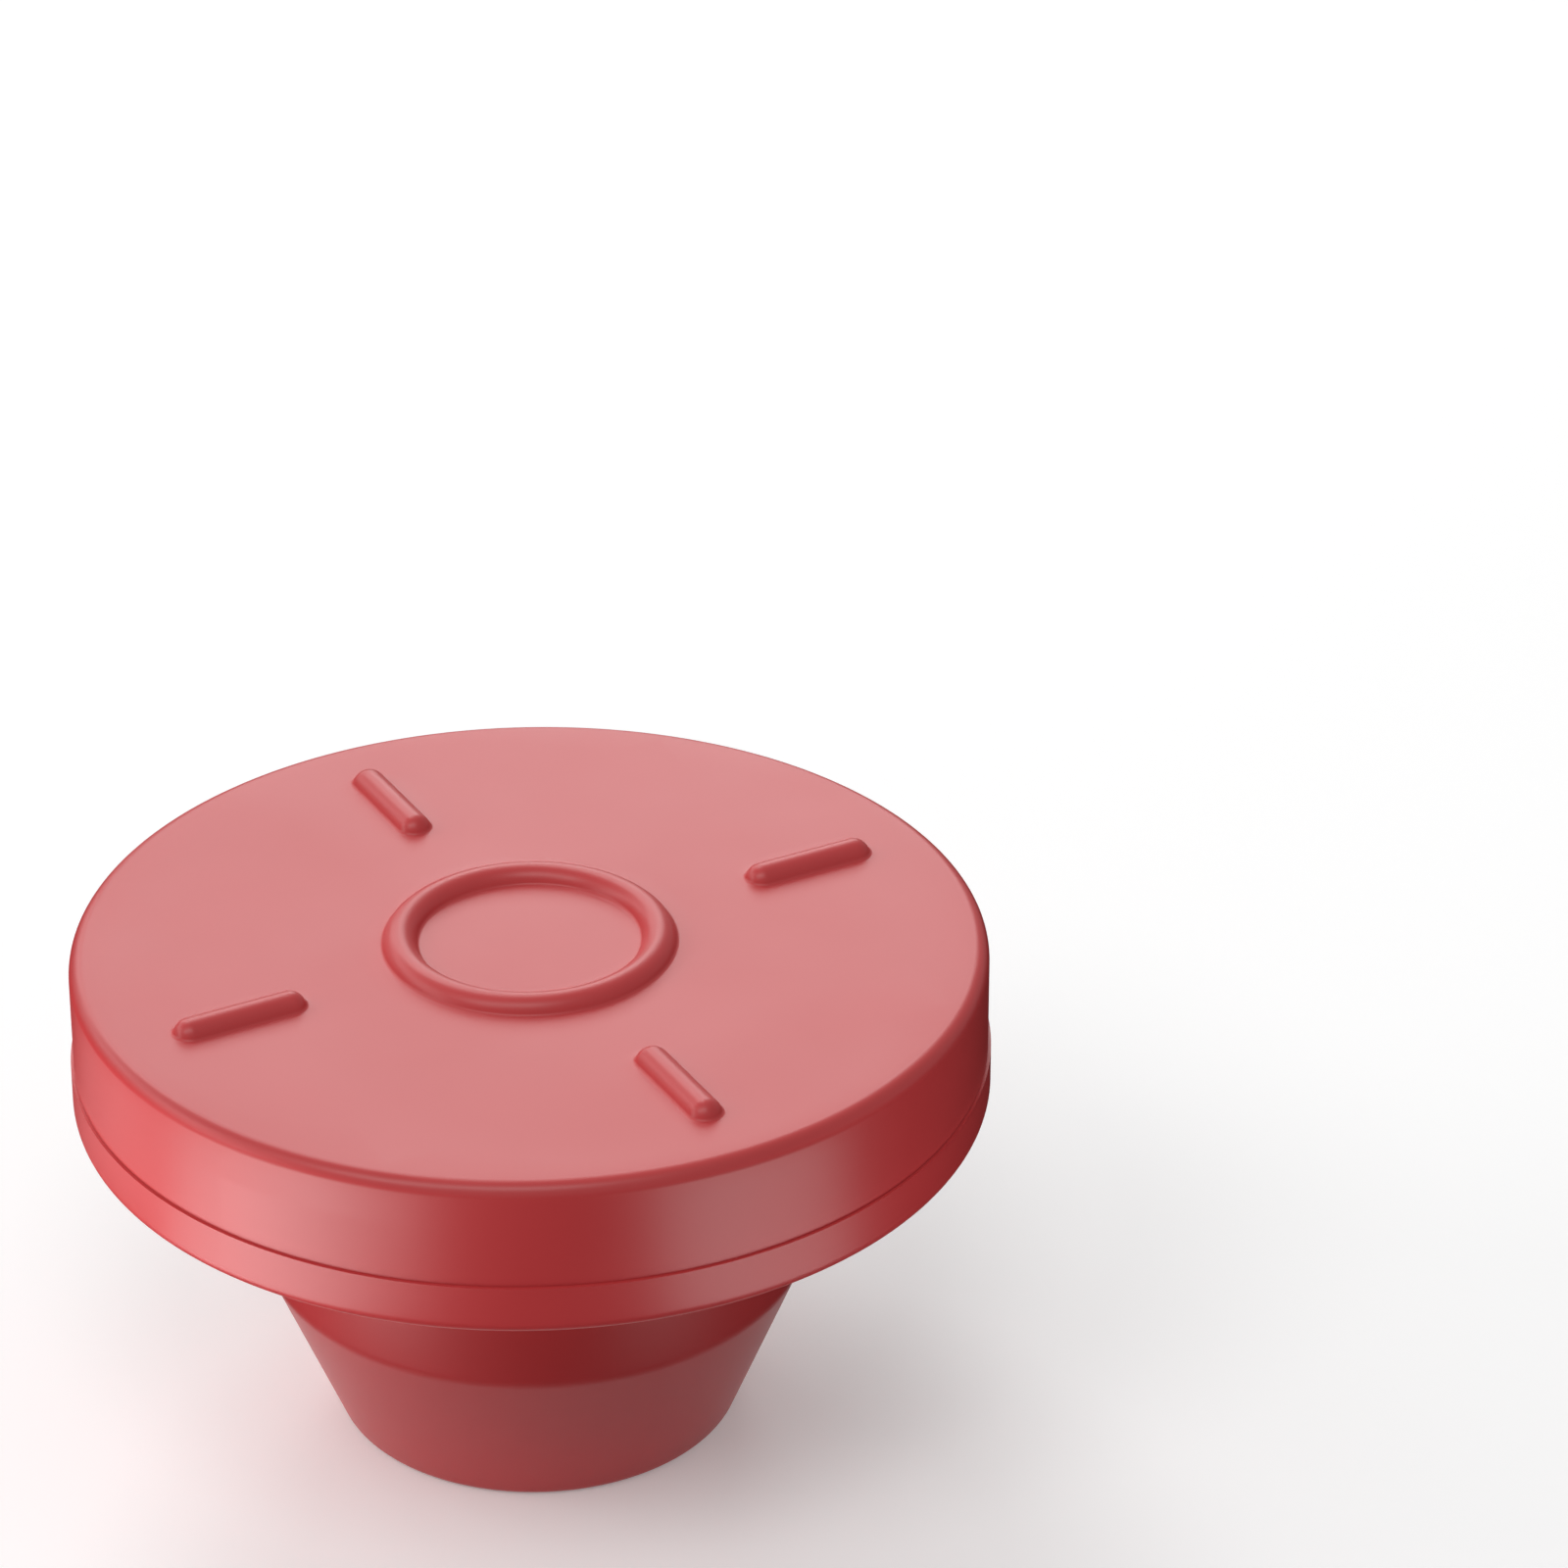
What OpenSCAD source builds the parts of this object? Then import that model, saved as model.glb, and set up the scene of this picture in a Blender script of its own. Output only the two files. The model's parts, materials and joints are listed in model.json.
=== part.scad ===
// Rubber stopper for a small crimp-top vial, moulded in one piece. It stands on the open end
// of its plug, with its axis on Z. All but the four ribs is turned about that axis, and every
// outline below is half a section: X is the distance from the axis and Y is the height.

/* [Flange] */
// Diameter of the flange at its lower band
flange_d = 12.5; // [11.5:0.1:14]
// Thickness of the flange, from its underside to its top face
flange_h = 2.24; // [1.8:0.02:3.2]
// Height of the lower band, from the underside to the parting step
band_h = 0.73; // [0.5:0.01:1.2]
// Depth of the parting step, from the lower band in to the upper side
band_step = 0.04; // [0.02:0.01:0.12]
// Radius of the flange's top and bottom edges
flange_edge_r = 0.2; // [0.1:0.05:0.4]

/* [Plug] */
// Length of the plug, from its open end to the flange's underside
plug_h = 4.93; // [4.4:0.01:6]
// Diameter of the plug's straight neck, which seals in the vial's mouth
neck_d = 7.5; // [6.8:0.1:8.6]
// Radius of the fillet under the flange
neck_fillet_r = 0.4; // [0.1:0.1:0.6]
// Length of the tapered nose
nose_h = 2.47; // [1.8:0.01:3]
// Diameter of the nose at the open end, before its edge is rounded
nose_d = 5.5; // [5.2:0.1:6.4]
// Radius that blends the nose into the neck
nose_blend_r = 0.5; // [0.2:0.1:1]
// Radius of the outer edge at the open end
nose_edge_r = 0.2; // [0.1:0.05:0.3]

/* [Bore] */
// Diameter of the blind bore
bore_d = 4; // [3:0.1:4.2]
// Thickness of rubber between the bore and the top face, which a needle pierces
target_h = 2.3; // [1.6:0.1:3]
// Radius of the bore's rounded mouth
mouth_r = 0.2; // [0.1:0.05:0.25]
// Radius of the corner round the bore's floor
bore_floor_r = 0.5; // [0.2:0.1:1]

/* [Top face] */
// Width of the beads that make the target ring and the ribs, where they meet the top face
bead_w = 0.47; // [0.4:0.01:0.6]
// Height of the beads above the top face
bead_h = 0.2; // [0.1:0.01:0.2]
// Radius of the fillet at the foot of a bead
bead_foot_r = 0.05; // [0.02:0.01:0.08]
// Diameter of the target ring, along the middle of its bead
ring_d = 3.51; // [2.4:0.01:4.4]
// Number of ribs
rib_count = 4; // [3:1:8]
// Distance from the axis to the inner end of each rib
rib_start = 3.34; // [3:0.01:3.6]
// Length of each rib, from end to end
rib_l = 1.9; // [1:0.1:2]

/* [Hidden] */
$fn = 96;

height = plug_h + flange_h;
bore_h = height - target_h;
flange_r = flange_d / 2;
side_r = flange_r - band_step;
neck_r = neck_d / 2;
nose_r = nose_d / 2;
bore_r = bore_d / 2;
bead_r = (pow(bead_w / 2, 2) + pow(bead_h, 2)) / (2 * bead_h);
bead_axis = bead_h - bead_r; // height of the bead's own axis, which lies just under the face
bead_root = 0.1; // how far a bead reaches into the flange, so that the two join
arc_bite = 0.000002; // an arc is this much over its radius, so that it always meets both sides
foot_x = sqrt(pow(bead_r + bead_foot_r, 2) - pow(bead_foot_r - bead_axis, 2));

// Corners of the outline, from the axis at the open end round to the axis at the top
end_centre = [0, 0];
nose_edge = [nose_r, 0];
nose_top = [neck_r, nose_h];
neck_top = [neck_r, plug_h];
band_bottom = [flange_r, plug_h];
band_top = [flange_r, plug_h + band_h];
side_bottom = [side_r, plug_h + band_h];
side_top = [side_r, height];
top_centre = [0, height];

// Corners of the bore
mouth_edge = [bore_r, 0];
floor_corner = [bore_r, bore_h];
floor_centre = [0, bore_h];

function unit(v) = v / norm(v);

// The area between the corner b of the path a, b, c and an arc that touches both its sides.
// Taken off, it rounds an outer corner. Added, it fillets an inner one.
module corner_area(a, b, c, r) {
    to_a = unit(a - b);
    to_c = unit(c - b);
    half = acos(to_a * to_c) / 2;
    reach = r / tan(half);
    centre = unit(to_a + to_c) * r / sin(half);
    translate(b) difference() {
        polygon([[0, 0], to_a * reach, centre, to_c * reach]);
        translate(centre) circle(r + arc_bite);
    }
}

// Half section of the plug and flange, solid, with its edges rounded
module body_section() {
    difference() {
        polygon([end_centre, nose_edge, nose_top, neck_top, band_bottom,
                 band_top, side_bottom, side_top, top_centre]);
        corner_area(end_centre, nose_edge, nose_top, nose_edge_r);
        corner_area(nose_edge, nose_top, neck_top, nose_blend_r);
        corner_area(neck_top, band_bottom, band_top, flange_edge_r);
        corner_area(side_bottom, side_top, top_centre, flange_edge_r);
    }
    corner_area(nose_top, neck_top, band_bottom, neck_fillet_r);
}

// Half section of the bore, which widens to the end face at its mouth
module bore_section() {
    difference() {
        polygon([end_centre, mouth_edge, floor_corner, floor_centre]);
        corner_area(mouth_edge, floor_corner, floor_centre, bore_floor_r);
    }
    corner_area(nose_edge, mouth_edge, floor_corner, mouth_r);
}

// Section across a bead: round on top, with a fillet on each side of its foot and a root that
// is buried in the flange. Y = 0 is the top face.
module bead_section() {
    intersection() {
        translate([0, bead_axis]) circle(bead_r);
        translate([-bead_r, 0]) square([2 * bead_r, bead_r]);
    }
    for (side = [0, 1]) {
        mirror([side, 0]) bead_foot();
    }
    translate([-foot_x, -bead_root]) square([2 * foot_x, bead_root]);
}

// Fillet on one side of a bead, which touches both the bead's arc and the top face
module bead_foot() {
    difference() {
        polygon([[0, bead_axis], [foot_x, 0], [foot_x, bead_foot_r]]);
        translate([foot_x, bead_foot_r]) circle(bead_foot_r);
    }
}

// Ring round the target, where the needle goes in
module target_ring() {
    rotate_extrude() {
        translate([ring_d / 2, 0]) bead_section();
    }
}

// Round end of a rib: the bead's section turned about its own middle
module rib_end() {
    rotate_extrude() {
        intersection() {
            bead_section();
            translate([0, -bead_root]) square([foot_x, bead_root + bead_r]);
        }
    }
}

// Rib that runs outwards along X, with both ends round
module rib() {
    near_x = rib_start + bead_w / 2;
    far_x = rib_start + rib_l - bead_w / 2;
    translate([near_x, 0, 0]) rotate([90, 0, 90]) linear_extrude(far_x - near_x) bead_section();
    for (x = [near_x, far_x]) {
        translate([x, 0, 0]) rib_end();
    }
}

module stopper() {
    color("indianred") {
        difference() {
            rotate_extrude() body_section();
            rotate_extrude() bore_section();
        }
        translate([0, 0, height]) {
            target_ring();
            for (i = [0:rib_count - 1]) {
                rotate(i * 360 / rib_count) rib();
            }
        }
    }
}

stopper();
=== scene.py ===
# %% [markdown]
# # A moulded rubber stopper
#
# A stopper like this closes a small glass vial. It is one piece of rubber, pressed in a steel
# mould: a hollow plug goes into the vial's mouth, a wide flange lies on the rim, and a ring on
# the top face shows where the needle goes in.
#
# The CAD model is loaded first and stays fixed. Its box and its mounts give the sizes here, so
# nothing has to be fitted by eye.

import json
from math import cos, pi, radians, sin

import bmesh
import bpy
import numpy as np
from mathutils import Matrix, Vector


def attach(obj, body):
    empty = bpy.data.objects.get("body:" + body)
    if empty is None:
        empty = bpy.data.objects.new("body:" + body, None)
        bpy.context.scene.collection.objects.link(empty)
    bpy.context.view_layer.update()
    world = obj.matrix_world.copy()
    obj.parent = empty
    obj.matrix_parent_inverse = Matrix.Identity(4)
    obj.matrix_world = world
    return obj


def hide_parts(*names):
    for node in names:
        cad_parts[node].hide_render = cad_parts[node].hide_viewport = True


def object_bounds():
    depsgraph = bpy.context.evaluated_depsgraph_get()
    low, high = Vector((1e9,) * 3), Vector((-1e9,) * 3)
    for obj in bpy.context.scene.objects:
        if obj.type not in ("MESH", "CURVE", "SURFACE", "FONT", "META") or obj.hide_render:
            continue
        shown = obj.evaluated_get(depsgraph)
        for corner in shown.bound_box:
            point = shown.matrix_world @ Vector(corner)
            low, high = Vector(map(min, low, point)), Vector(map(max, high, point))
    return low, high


MM = 0.001                 # metres in a millimetre

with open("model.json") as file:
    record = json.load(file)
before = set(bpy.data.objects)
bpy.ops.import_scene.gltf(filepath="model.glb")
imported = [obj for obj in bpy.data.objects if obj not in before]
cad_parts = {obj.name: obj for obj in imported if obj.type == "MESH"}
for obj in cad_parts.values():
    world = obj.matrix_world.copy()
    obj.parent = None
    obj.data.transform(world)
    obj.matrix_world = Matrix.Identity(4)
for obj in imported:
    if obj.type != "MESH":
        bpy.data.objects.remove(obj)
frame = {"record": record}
cad_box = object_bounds()
mounts = {mount["name"]: mount for mount in frame["record"]["mounts"]}
print("CAD box in mm:", [[round(float(v) / MM, 3) for v in corner] for corner in cad_box])

# %% [markdown]
# ## Sizes
#
# A stopper is drawn as half a section, with the distance from the axis across the page and the
# height up it. The outer sizes come from the model's box, and the plug, the bore and the
# sealing face from its mounts. What is left are the small sizes that only the mould sets.

# %% Sizes of the stopper
flange_r = float(cad_box[1][0])
underside_z = mounts["seal_face"]["pos_m"][2]
neck_r = mounts["plug"]["dims"]["r_mm"] * MM
bore_r = mounts["bore"]["dims"]["r_mm"] * MM

bead_w = 0.47 * MM         # the ring and the ribs are beads of this width
bead_h = 0.2 * MM
bead_foot_r = 0.05 * MM    # the fillet at a bead's foot
bead_r = ((bead_w / 2) ** 2 + bead_h ** 2) / (2 * bead_h)
bead_axis = bead_h - bead_r
top_z = float(cad_box[1][2]) - bead_h

band_h = 0.73 * MM         # lower band of the flange, up to the parting step
band_step = 0.04 * MM
edge_r = 0.2 * MM          # the flange's edges, the nose's edge and the bore's mouth
neck_fillet_r = 0.4 * MM
nose_h = 2.47 * MM
nose_r = 2.75 * MM
nose_blend_r = 0.5 * MM
target_h = 2.3 * MM        # rubber left between the bore and the top face
bore_floor_r = 0.5 * MM
ring_r = 1.755 * MM        # middle of the target ring's bead
rib_start = 3.34 * MM
rib_l = 1.9 * MM
rib_count = 4
print("flange radius %.2f mm, top face at %.2f mm" % (flange_r / MM, top_z / MM))

# %% [markdown]
# ## Rounded corners
#
# No edge that leaves a mould is sharp, and the soft light along a rounded edge is what tells
# the eye that this is rubber. Bevel could round the edges of a finished mesh. Here each corner
# of the section is swapped for an arc that touches both its sides, so that the radius is exact
# and the rows of faces follow the curve.


# %% Arcs and rounded paths
def arc(centre, radius, start, end, steps):
    """Points on a circle: centre + radius * (cos t, sin t), with t from start to end."""
    t = np.linspace(start, end, steps + 1)
    return np.stack([centre[0] + radius * np.cos(t), centre[1] + radius * np.sin(t)], axis=1)


def corner_arc(a, b, c, radius, steps=14):
    """The arc that rounds corner b of the path a, b, c.

    Its centre lies on the line that halves the corner, radius / sin(half the angle) from b, and
    it starts and ends radius / tan(half the angle) along the two sides. It turns the way that
    the path turns, which is the sign of the cross product of its two directions.
    """
    to_a = (a - b) / np.linalg.norm(a - b)
    to_c = (c - b) / np.linalg.norm(c - b)
    half = np.arccos(to_a @ to_c) / 2
    middle = (to_a + to_c) / np.linalg.norm(to_a + to_c)
    centre = b + middle * radius / np.sin(half)
    first = b + to_a * radius / np.tan(half) - centre
    start = np.arctan2(first[1], first[0])
    turn = np.copysign(pi - 2 * half, to_a[1] * to_c[0] - to_a[0] * to_c[1])
    return arc(centre, radius, start, start + turn, steps)


def rounded_path(corners):
    """A path through corners given as (x, y, radius), with an arc in place of each corner."""
    points = np.array([corner[:2] for corner in corners])
    parts = [points[:1]]
    for i in range(1, len(corners) - 1):
        radius = corners[i][2]
        if radius:
            parts.append(corner_arc(points[i - 1], points[i], points[i + 1], radius))
        else:
            parts.append(points[i:i + 1])
    parts.append(points[-1:])
    return np.concatenate(parts)


def split_long(path, longest):
    """The same path with each stretch cut into equal parts no longer than longest."""
    parts = [path[:1]]
    for a, b in zip(path[:-1], path[1:]):
        count = max(1, int(np.ceil(np.linalg.norm(b - a) / longest)))
        parts.append(a + (b - a) * (np.arange(1, count + 1) / count)[:, None])
    return np.concatenate(parts)


def bead_side(foot_steps=6, round_steps=14):
    """One side of a bead's section, from its foot on the top face up to its crest.

    The bead is the top of a circle of radius bead_r, whose centre lies just under the face. The
    foot is an arc of radius bead_foot_r that touches both the face and that circle, so the two
    centres are bead_r + bead_foot_r apart. x is the distance from the bead's middle.
    """
    reach = bead_r + bead_foot_r
    lean = np.arcsin((bead_foot_r - bead_axis) / reach)
    foot_x = reach * cos(lean)
    foot = arc((foot_x, bead_foot_r), bead_foot_r, -pi / 2, -pi + lean, foot_steps)
    top = arc((0, bead_axis), bead_r, lean, pi / 2, round_steps)
    return np.concatenate([foot, top[1:]])


bead = bead_side()
foot_x = bead[0, 0]
print("a bead is %.2f mm wide at its foot" % (2 * foot_x / MM))

# %% [markdown]
# ## The turned body
#
# All but the ribs is round, so the section is turned about the axis. A Screw modifier could
# do it. A grid worked out as arrays is as short, and its rows stay named stretches of the
# section. The flat of the top face is left open here, because the ribs stand on it.

# %% The section, from the bore's floor round to the target's middle
LONGEST_STEP = 0.25 * MM   # longest face along the section

outer_path = rounded_path([
    (0, top_z - target_h, 0),
    (bore_r, top_z - target_h, bore_floor_r),
    (bore_r, 0, edge_r),
    (nose_r, 0, edge_r),
    (neck_r, nose_h, nose_blend_r),
    (neck_r, underside_z, neck_fillet_r),
    (flange_r, underside_z, edge_r),
    (flange_r, underside_z + band_h, 0),
    (flange_r - band_step, underside_z + band_h, 0),
    (flange_r - band_step, top_z, edge_r),
    (0, top_z, 0),
])[:-1]

bead_out = bead + [ring_r, top_z]
bead_in = bead[::-1] * [-1, 1] + [ring_r, top_z]
ring_path = np.concatenate([bead_out, bead_in[1:], [[0, top_z]]])

face_inner_r = ring_path[0, 0]
face_outer_r = outer_path[-1, 0]
outer_path = split_long(outer_path, LONGEST_STEP)
ring_path = split_long(ring_path, LONGEST_STEP)
print("top face runs from %.2f to %.2f mm" % (face_inner_r / MM, face_outer_r / MM))

# %% Turn a section about the axis
ROUND_STEPS = 256          # faces round the axis
parts = []                 # each part is a list of points and a list of faces


def grid_faces(rows, columns, closed=True):
    """Quads of a grid of points, joined round its columns when closed."""
    down = np.arange(rows - 1)[:, None] * columns
    across = np.arange(columns if closed else columns - 1)[None, :]
    after = (across + 1) % columns
    quads = [down + across, down + after, down + columns + after, down + columns + across]
    return np.stack(quads, axis=-1).reshape(-1, 4)


def add_part(points, faces):
    """Keeps a finished surface for the one mesh that they all become."""
    parts.append((points.reshape(-1, 3), [tuple(int(i) for i in face) for face in faces]))


def turned(path):
    """Point (r, z) of the path goes to (r cos a, r sin a, z) for each angle a of the circle."""
    a = np.arange(ROUND_STEPS) / ROUND_STEPS * 2 * pi
    r, z = path[:, :1], path[:, 1:]
    points = np.stack([r * np.cos(a), r * np.sin(a), z + 0 * a], axis=-1)
    add_part(points, grid_faces(len(path), ROUND_STEPS))


turned(outer_path)
turned(ring_path)
print("turned %d rows of %d points" % (len(outer_path) + len(ring_path), ROUND_STEPS))

# %% [markdown]
# ## The ribs and the flat between them
#
# Four short ribs keep stoppers from sticking flat to each other in the bowl that feeds them.
# Each is a bead with round ends, and its foot runs into the top face with a tiny fillet. A
# Boolean could join them, but it leaves long thin faces, on which a soft reflection breaks up.
# Instead the top face is built round the ribs: from each point on a sector's edge a straight
# row of faces runs to the nearest place on the rib's middle line, climbs the bead and meets its
# fellows on the crest.


# %% One quarter of the top face, with its rib
SIDE_STEPS = 22            # points along each straight side of a sector
FLAT_ROWS = 9              # rows of the flat, from the sector's edge to the rib's foot
CROWDING = 0.6             # below 1, the rows lie closer together near the rib


def sector_edge(half_angle, arc_steps, side_steps):
    """Corner points round a sector of the top face that is centred on the X axis."""
    a = np.linspace(-half_angle, half_angle, arc_steps + 1)[:-1]
    r = np.linspace(face_inner_r, face_outer_r, side_steps + 1)[:-1]
    s = face_inner_r + face_outer_r - r
    low = np.stack([r * cos(half_angle), -r * sin(half_angle)], axis=1)
    outer = face_outer_r * np.stack([np.cos(a), np.sin(a)], axis=1)
    high = np.stack([s * cos(half_angle), s * sin(half_angle)], axis=1)
    inner = face_inner_r * np.stack([np.cos(a), -np.sin(a)], axis=1)
    return np.concatenate([low, outer, high, inner])


def ribbed_sector(turn):
    """A sector of the top face with a rib on it, turned about the axis.

    For a point e of the edge, m is the nearest point of the rib's middle line and d the unit
    vector from m to e. The flat runs from e to m + foot_x * d, and the rib's surface is
    m + x * d at height z, for each (x, z) of the bead's section.
    """
    edge = sector_edge(pi / rib_count, ROUND_STEPS // rib_count, SIDE_STEPS)
    middle_x = np.clip(edge[:, 0], rib_start + bead_w / 2, rib_start + rib_l - bead_w / 2)
    middle = np.stack([middle_x, 0 * middle_x], axis=1)
    away = edge - middle
    reach = np.linalg.norm(away, axis=1, keepdims=True)
    share = np.linspace(0, 1, FLAT_ROWS) ** CROWDING
    flat = middle + away / reach * (reach + (foot_x - reach) * share[:, None, None])
    climb = middle + away / reach * bead[1:, 0, None, None]
    rows = np.concatenate([flat, climb])
    heights = np.concatenate([np.zeros(FLAT_ROWS), bead[1:, 1]]) + top_z
    x, y = rows[..., 0], rows[..., 1]
    z = heights[:, None] + 0 * x
    points = np.stack([x * cos(turn) - y * sin(turn), x * sin(turn) + y * cos(turn), z], axis=-1)
    add_part(points, grid_faces(len(rows), len(edge)))


for i in range(rib_count):
    ribbed_sector(2 * pi * i / rib_count)
print("parts so far:", len(parts))

# %% [markdown]
# ## One closed mesh
#
# The parts share the points along their edges, so merging doubles closes the skin. It also
# draws each pole and each crest together. Normals are then made to point outwards, and
# only the parting step is marked sharp.


# %% Join the parts
MERGE_DISTANCE = 0.0004 * MM
SHARP_ANGLE = radians(40)  # only the parting step bends by more


def joined_mesh(name):
    """All parts in one mesh, with doubled points merged and normals facing outwards."""
    start, points, faces = 0, [], []
    for part_points, part_faces in parts:
        points.append(part_points)
        faces += [tuple(i + start for i in face) for face in part_faces]
        start += len(part_points)
    mesh = bpy.data.meshes.new(name)
    mesh.from_pydata(np.concatenate(points).tolist(), [], faces)
    work = bmesh.new()
    work.from_mesh(mesh)
    bmesh.ops.remove_doubles(work, verts=work.verts, dist=MERGE_DISTANCE)
    bmesh.ops.dissolve_degenerate(work, edges=work.edges, dist=MERGE_DISTANCE)
    bmesh.ops.recalc_face_normals(work, faces=work.faces)
    open_edges = sum(1 for edge in work.edges if len(edge.link_faces) != 2)
    print("open edges:", open_edges, " volume in mm3: %.1f" % (work.calc_volume() / MM ** 3))
    work.to_mesh(mesh)
    work.free()
    mesh.polygons.foreach_set("use_smooth", [True] * len(mesh.polygons))
    mesh.set_sharp_from_angle(angle=SHARP_ANGLE)
    return mesh


stopper = bpy.data.objects.new("stopper_rubber", joined_mesh("stopper_rubber"))
bpy.context.scene.collection.objects.link(stopper)
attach(stopper, "root")
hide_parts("stopper")
triangles = sum(len(face.vertices) - 2 for face in stopper.data.polygons)
print("stopper has", triangles, "triangles")

# %% [markdown]
# ## The rubber
#
# The real material is butyl rubber, coloured all through and pressed in a hot steel mould. It
# lets no light in, so its colour is a plain red under a satin skin. The mould was polished, so
# its grain is very fine. Reflections are soft but clear, and they grow strong where the
# surface is seen at a low angle.
#
# One Principled BSDF gives all of that. Subsurface light would make it look like jelly, and
# a painted texture would need an unwrapped mesh. Three noise patterns on Object coordinates
# give the uneven depth of the colour, the patches where the skin is a little duller, and the
# grain of the mould.


# %% Colours and nodes
def srgb(code):
    """A #rrggbb colour as linear RGBA."""
    values = [int(code[i:i + 2], 16) / 255 for i in (1, 3, 5)]
    linear = [v / 12.92 if v <= 0.04045 else ((v + 0.055) / 1.055) ** 2.4 for v in values]
    return (*linear, 1.0)


def add_node(tree, kind, inputs=None, **settings):
    """Adds a node, sets its properties, and sets or links its inputs by name or number."""
    node = tree.nodes.new(kind)
    for name, value in settings.items():
        setattr(node, name, value)
    for name, value in (inputs or {}).items():
        if isinstance(value, bpy.types.NodeSocket):
            tree.links.new(value, node.inputs[name])
        else:
            node.inputs[name].default_value = value
    return node


# %% Moulded butyl rubber
MOTTLE = 1.6 * MM          # width of the spots where the filler lies a little denser
DULL_PATCH = 3.5 * MM      # width of the patches where the skin is duller
GRAIN = 0.05 * MM          # grain of the mould, drawn some four times as coarse as it is
GRAIN_HEIGHT = 0.0004 * MM
RUBBER_IOR = 1.54
SATIN, DULL = 0.36, 0.40   # roughness of the skin, at its glossiest and at its dullest
MIX_A, MIX_B = 6, 7        # the colour inputs of a Mix node, which share their names
MIX_RESULT = 2


def butyl_rubber():
    """Red butyl rubber from a polished mould: satin skin, faint mottling and fine grain."""
    material = bpy.data.materials.new("moulded butyl rubber")
    material.use_nodes = True
    tree = material.node_tree
    shader = tree.nodes["Principled BSDF"]
    shader.inputs["IOR"].default_value = RUBBER_IOR
    place = add_node(tree, "ShaderNodeTexCoord").outputs["Object"]

    mottle = add_node(tree, "ShaderNodeTexNoise", {
        "Vector": place, "Scale": 1 / MOTTLE, "Detail": 4.0})
    depth = add_node(tree, "ShaderNodeMapRange", {
        "Value": mottle.outputs["Fac"], "From Min": 0.3, "From Max": 0.7})
    colour = add_node(tree, "ShaderNodeMix", data_type="RGBA", inputs={
        "Factor": depth.outputs["Result"], MIX_A: srgb("#c53c3e"), MIX_B: srgb("#c73e40")})
    tree.links.new(colour.outputs[MIX_RESULT], shader.inputs["Base Color"])

    patch = add_node(tree, "ShaderNodeTexNoise", {
        "Vector": place, "Scale": 1 / DULL_PATCH, "Detail": 2.0})
    dullness = add_node(tree, "ShaderNodeMapRange", {
        "Value": patch.outputs["Fac"], "From Min": 0.3, "From Max": 0.7,
        "To Min": SATIN, "To Max": DULL})
    tree.links.new(dullness.outputs["Result"], shader.inputs["Roughness"])

    grain = add_node(tree, "ShaderNodeTexNoise", {
        "Vector": place, "Scale": 1 / GRAIN, "Detail": 3.0})
    bump = add_node(tree, "ShaderNodeBump", {
        "Strength": 1.0, "Distance": GRAIN_HEIGHT, "Height": grain.outputs["Fac"]})
    tree.links.new(bump.outputs["Normal"], shader.inputs["Normal"])
    return material


stopper.data.materials.append(butyl_rubber())
print("rubber: mottling %.1f mm, grain %.2f mm" % (MOTTLE / MM, GRAIN / MM))

# %% [markdown]
# ## Camera
#
# A long lens held about seven flange widths away and looking down at 29 degrees shows the top
# face and the plug together. The ribs lie on the X and Y axes, so the camera's place round the
# stopper also sets how they turn. It looks past the stopper, to the right and above, which puts
# the stopper low and left in the picture.

# %% Camera
VIEW_CENTRE = (4.208 * MM, 0.533 * MM, 8.208 * MM)
VIEW_AZIMUTH = -118.749
VIEW_ELEVATION = 28.892
VIEW_DISTANCE = 89.33 * MM
SENSOR_WIDTH = 36          # millimetres on the film, as camera makers count
FOCAL_LENGTH = 149.04


def aimed(thing, centre, azimuth, elevation, distance):
    """Puts a camera or a lamp at distance from centre, in that direction, facing centre."""
    a, e = radians(azimuth), radians(elevation)
    way = Vector((cos(a) * cos(e), sin(a) * cos(e), sin(e)))
    item = bpy.data.objects.new(thing.name, thing)
    bpy.context.scene.collection.objects.link(item)
    item.location = Vector(centre) + way * distance
    item.rotation_euler = way.to_track_quat("Z", "Y").to_euler()
    return item


lens = bpy.data.cameras.new("camera")
lens.sensor_width = SENSOR_WIDTH
lens.lens = FOCAL_LENGTH
lens.clip_start = 1 * MM
lens.clip_end = 10
camera = aimed(lens, VIEW_CENTRE, VIEW_AZIMUTH, VIEW_ELEVATION, VIEW_DISTANCE)
bpy.context.scene.camera = camera
print("camera at", [round(v / MM, 2) for v in camera.location], "mm")

# %% [markdown]
# ## Floor
#
# The stopper stands on a sheet of white board that runs far out on all sides. Real board that
# is lit evenly looks grey beside a bright object, so photographers light it apart. Here Light
# Path does that job: the camera and the reflections see white board with a faint glow of its
# own, which keeps the shadow, and the stopper gets no light from the glow.
#
# Both sheets on the table are one-sided. Geometry's Backfacing lets light through from below,
# so that a look at the underside isn't blocked.


# %% Sheets on the table
def one_sided(tree, shader):
    """Makes the side that faces down clear, and sends the upper side to the output."""
    back = add_node(tree, "ShaderNodeNewGeometry").outputs["Backfacing"]
    clear = add_node(tree, "ShaderNodeBsdfTransparent").outputs["BSDF"]
    sides = add_node(tree, "ShaderNodeMixShader", {
        0: back, 1: shader.outputs["BSDF"], 2: clear})
    tree.links.new(sides.outputs["Shader"], tree.nodes["Material Output"].inputs["Surface"])


def matt_sheet(name, colour):
    """A matt, one-sided material, and its shader for what else it needs."""
    material = bpy.data.materials.new(name)
    material.use_nodes = True
    shader = material.node_tree.nodes["Principled BSDF"]
    shader.inputs["Base Color"].default_value = srgb(colour)
    shader.inputs["Roughness"].default_value = 1.0
    shader.inputs["Specular IOR Level"].default_value = 0.0
    one_sided(material.node_tree, shader)
    return material, shader


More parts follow.
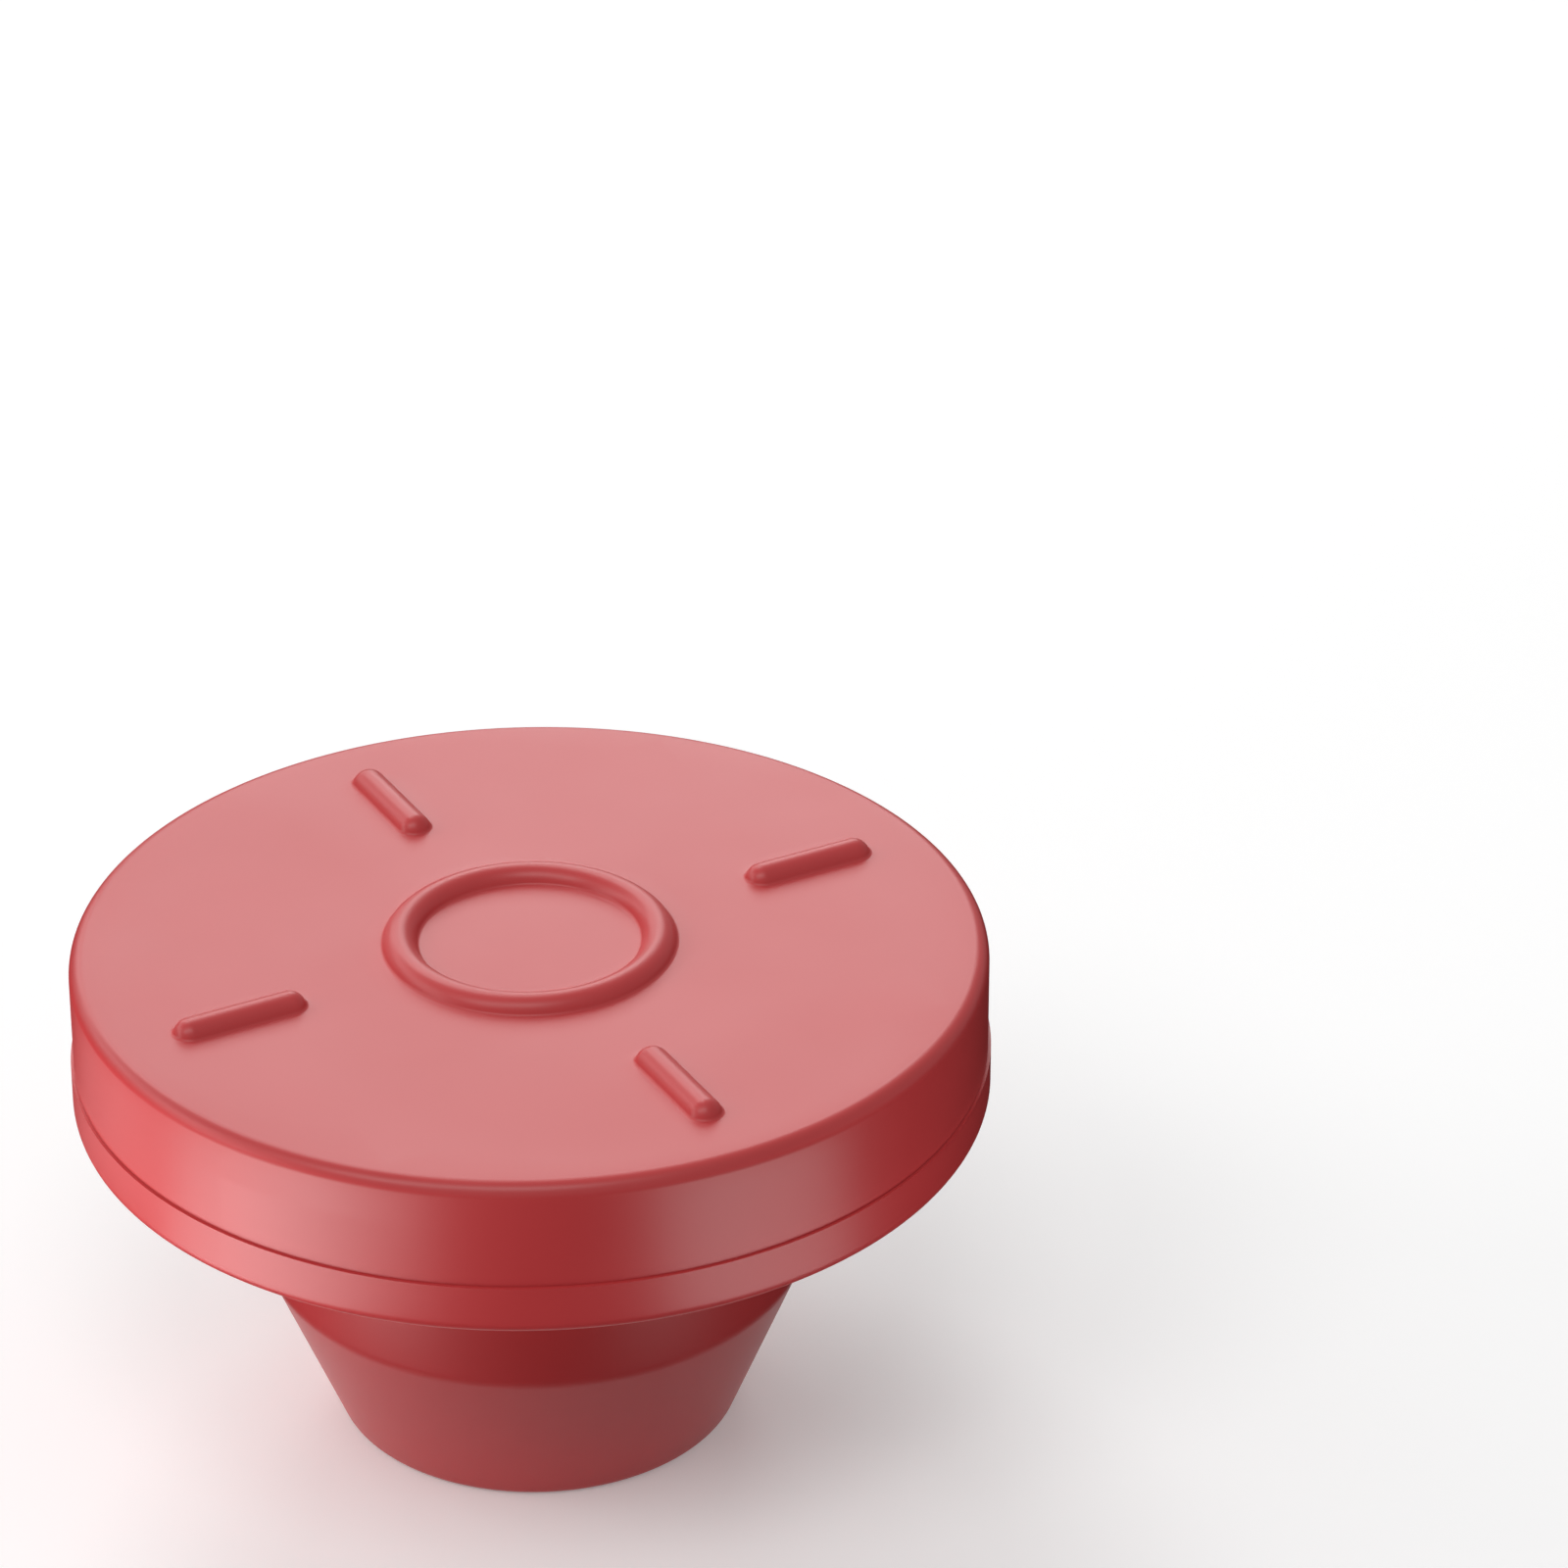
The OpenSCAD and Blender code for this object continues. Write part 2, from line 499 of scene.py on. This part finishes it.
def flat_ring(name, inner, outer, height, material, steps=96):
    """A flat ring that faces up: (r cos a, r sin a, height) for both radii, one row each."""
    a = np.arange(steps) / steps * 2 * pi
    r = np.array([outer, inner])[:, None]
    points = np.stack([r * np.cos(a), r * np.sin(a), height + 0 * r * a], axis=-1).reshape(-1, 3)
    mesh = bpy.data.meshes.new(name)
    mesh.from_pydata(points.tolist(), [], grid_faces(2, steps).tolist())
    mesh.materials.append(material)
    sheet = bpy.data.objects.new(name, mesh)
    bpy.context.scene.collection.objects.link(sheet)
    return sheet


# %% White board
BOARD_R = 3.0              # metres
BOARD_GLOW = 0.19          # share of full white that the board adds for itself


def white_board():
    """White matt board, with a faint glow for the camera, reflections and clear things only."""
    material, shader = matt_sheet("white board", "#f3f3f3")
    tree = material.node_tree
    ray = add_node(tree, "ShaderNodeLightPath").outputs
    glossy = add_node(tree, "ShaderNodeMath", operation="MAXIMUM", inputs={
        0: ray["Is Camera Ray"], 1: ray["Is Glossy Ray"]})
    seen = add_node(tree, "ShaderNodeMath", operation="MAXIMUM", inputs={
        0: glossy.outputs["Value"], 1: ray["Is Transmission Ray"]})
    glow = add_node(tree, "ShaderNodeMath", operation="MULTIPLY", inputs={
        0: seen.outputs["Value"], 1: BOARD_GLOW})
    shader.inputs["Emission Color"].default_value = srgb("#ffffff")
    tree.links.new(glow.outputs["Value"], shader.inputs["Emission Strength"])
    return material


board = flat_ring("board", 0, BOARD_R, 0, white_board())
print("board is", 2 * BOARD_R, "m wide")

# %% [markdown]
# ## Black card
#
# White board all round would light the stopper from below and show in its sides, which would
# then look flat and washed out. Photographers lay black card round a small subject, just out
# of the picture, to keep its sides deep in colour. This card has a hole in which the stopper
# stands. It is hidden from the camera and throws no shadow, so in every view only the board
# and the stopper's own shadow are seen.

# %% Card with a hole
CARD_HOLE_R = 5.0 * MM
CARD_R = 0.4               # metres
CARD_HEIGHT = 0.01 * MM    # just clear of the board
card_material = matt_sheet("black card", "#1c1c1c")[0]
card = flat_ring("black_card", CARD_HOLE_R, CARD_R, CARD_HEIGHT, card_material)
card.visible_camera = False
card.visible_shadow = False
card.visible_transmission = False
print("card runs from %.1f mm out" % (CARD_HOLE_R / MM))

# %% [markdown]
# ## Light
#
# Soft light needs large lamps, so each softbox is a disc as wide as 24 degrees of the
# stopper's sky. Those behind the stopper lay a pale sheen over its top face, because a satin
# surface shines most when the light comes towards the eye. Those on the left light the side of
# the flange and throw the shadow to the right. The two in front are high, so that they reach
# the near sides of the ribs and the ring but not the neck, which stays dark under the flange.
# The world adds a little from all round.
#
# The sides stand upright and the camera looks down, so they mirror what lies on the table.
# Light panels lie there, on the card and out of the picture. A wide one on each side draws a
# broad soft band that shows how round the flange is, and small ones even out its brightness.

# %% Softboxes, panels and world
LAMP_DISTANCE = 400 * MM
LAMP_WIDTH = 170 * MM
LAMP_CENTRE = (0, 0, 4 * MM)
SOFTBOXES = [              # name, azimuth and elevation in degrees, power in watts
    ("behind", 60, 26, 0.245),
    ("behind left", 90, 26, 0.160),
    ("behind far left", 120, 26, 0.137),
    ("behind high", 80, 48, 0.280),
    ("left", 150, 26, 0.177),
    ("left low", 168, 7, 0.175),
    ("front left high", 200, 48, 0.223),
    ("front high", 240, 60, 0.225),
]
PANEL_HEIGHT = 0.1 * MM    # how high the panels lie; each faces a point twice as high
PANELS = [                 # name, azimuth, distance from the axis, width, power in watts
    ("left panel", 187, 15.5 * MM, 13 * MM, 0.00138),
    ("left spot 1", 184, 16.5 * MM, 6 * MM, 0.00060),
    ("left spot 2", 199, 17 * MM, 6 * MM, 0.00048),
    ("left spot 3", 214, 17 * MM, 6 * MM, 0.00030),
    ("left edge spot 1", 149, 15 * MM, 6 * MM, 0.00011),
    ("left edge spot 2", 131, 14.5 * MM, 6 * MM, 0.00005),
    ("right panel", 289, 15.5 * MM, 11 * MM, 0.00078),
    ("right spot", 277, 17 * MM, 6 * MM, 0.00023),
]
WORLD_LIGHT = 0.36


def disc_lamp(name, width, power):
    """A round area lamp, not yet placed."""
    lamp = bpy.data.lights.new(name, "AREA")
    lamp.shape = "DISK"
    lamp.size = width
    lamp.energy = power
    return lamp


for name, azimuth, elevation, power in SOFTBOXES:
    softbox = disc_lamp(name, LAMP_WIDTH, power)
    aimed(softbox, LAMP_CENTRE, azimuth, elevation, LAMP_DISTANCE).visible_camera = False

for name, azimuth, distance, width, power in PANELS:
    a = radians(azimuth)
    over = (distance * cos(a), distance * sin(a), 2 * PANEL_HEIGHT)
    aimed(disc_lamp(name, width, power), over, 0, -90, PANEL_HEIGHT).visible_camera = False

world = bpy.data.worlds.new("studio")
world.use_nodes = True
world.node_tree.nodes["Background"].inputs["Color"].default_value = srgb("#ffffff")
world.node_tree.nodes["Background"].inputs["Strength"].default_value = WORLD_LIGHT
bpy.context.scene.world = world
bpy.context.scene.view_settings.view_transform = "Standard"
print(len(SOFTBOXES), "softboxes and", len(PANELS), "panels")
